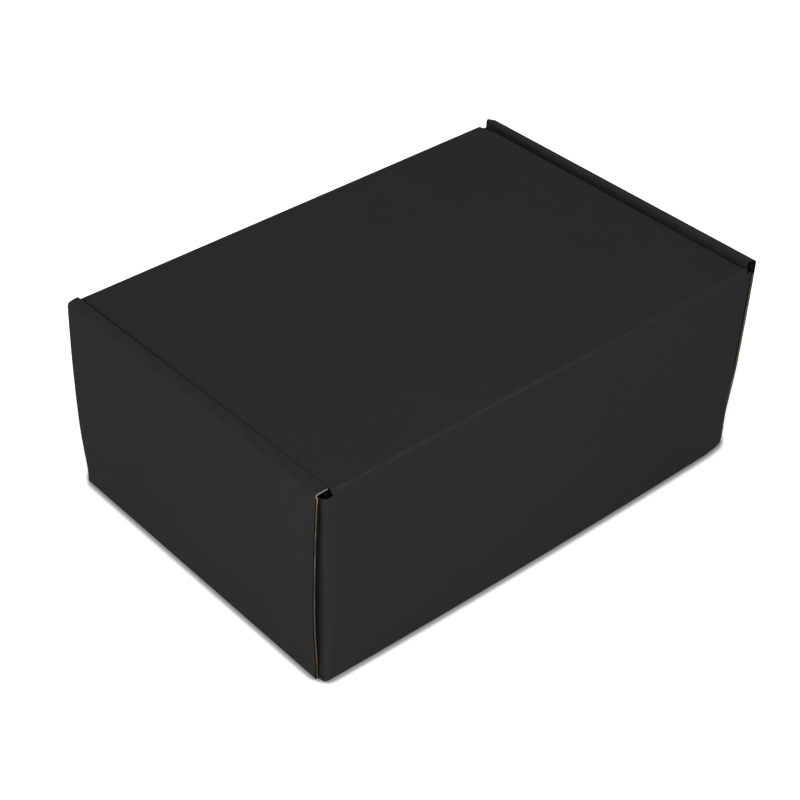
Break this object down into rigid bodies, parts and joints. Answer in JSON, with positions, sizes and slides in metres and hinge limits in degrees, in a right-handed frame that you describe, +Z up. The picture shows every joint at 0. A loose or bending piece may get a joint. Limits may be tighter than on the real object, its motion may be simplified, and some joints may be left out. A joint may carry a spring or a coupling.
{
  "type": "shipping box",
  "caption": "Black corrugated mailer box folded from one blank, with rolled double ends and a hinged tuck lid, for posting goods.",
  "frame": {"origin": "centre of the underside, on the surface that the box stands on", "axes": "+X along the length between the rolled ends, +Y towards the rear wall and the lid's hinge fold, +Z up"},
  "size_m": [0.2672, 0.1832, 0.1056],
  "materials": {
    "black_board": "matt printed liner"
  },
  "bodies": {
    "tray": {"tray": "black_board"},
    "lid": {"lid": "black_board"}
  },
  "joints": [
    {"name": "lid_hinge", "type": "hinge", "parent": "tray", "child": "lid", "pos_m": [0, 0.09118, 0.10378], "axis": [-1, 0, 0], "range_deg": [0, 180]}
  ]
}
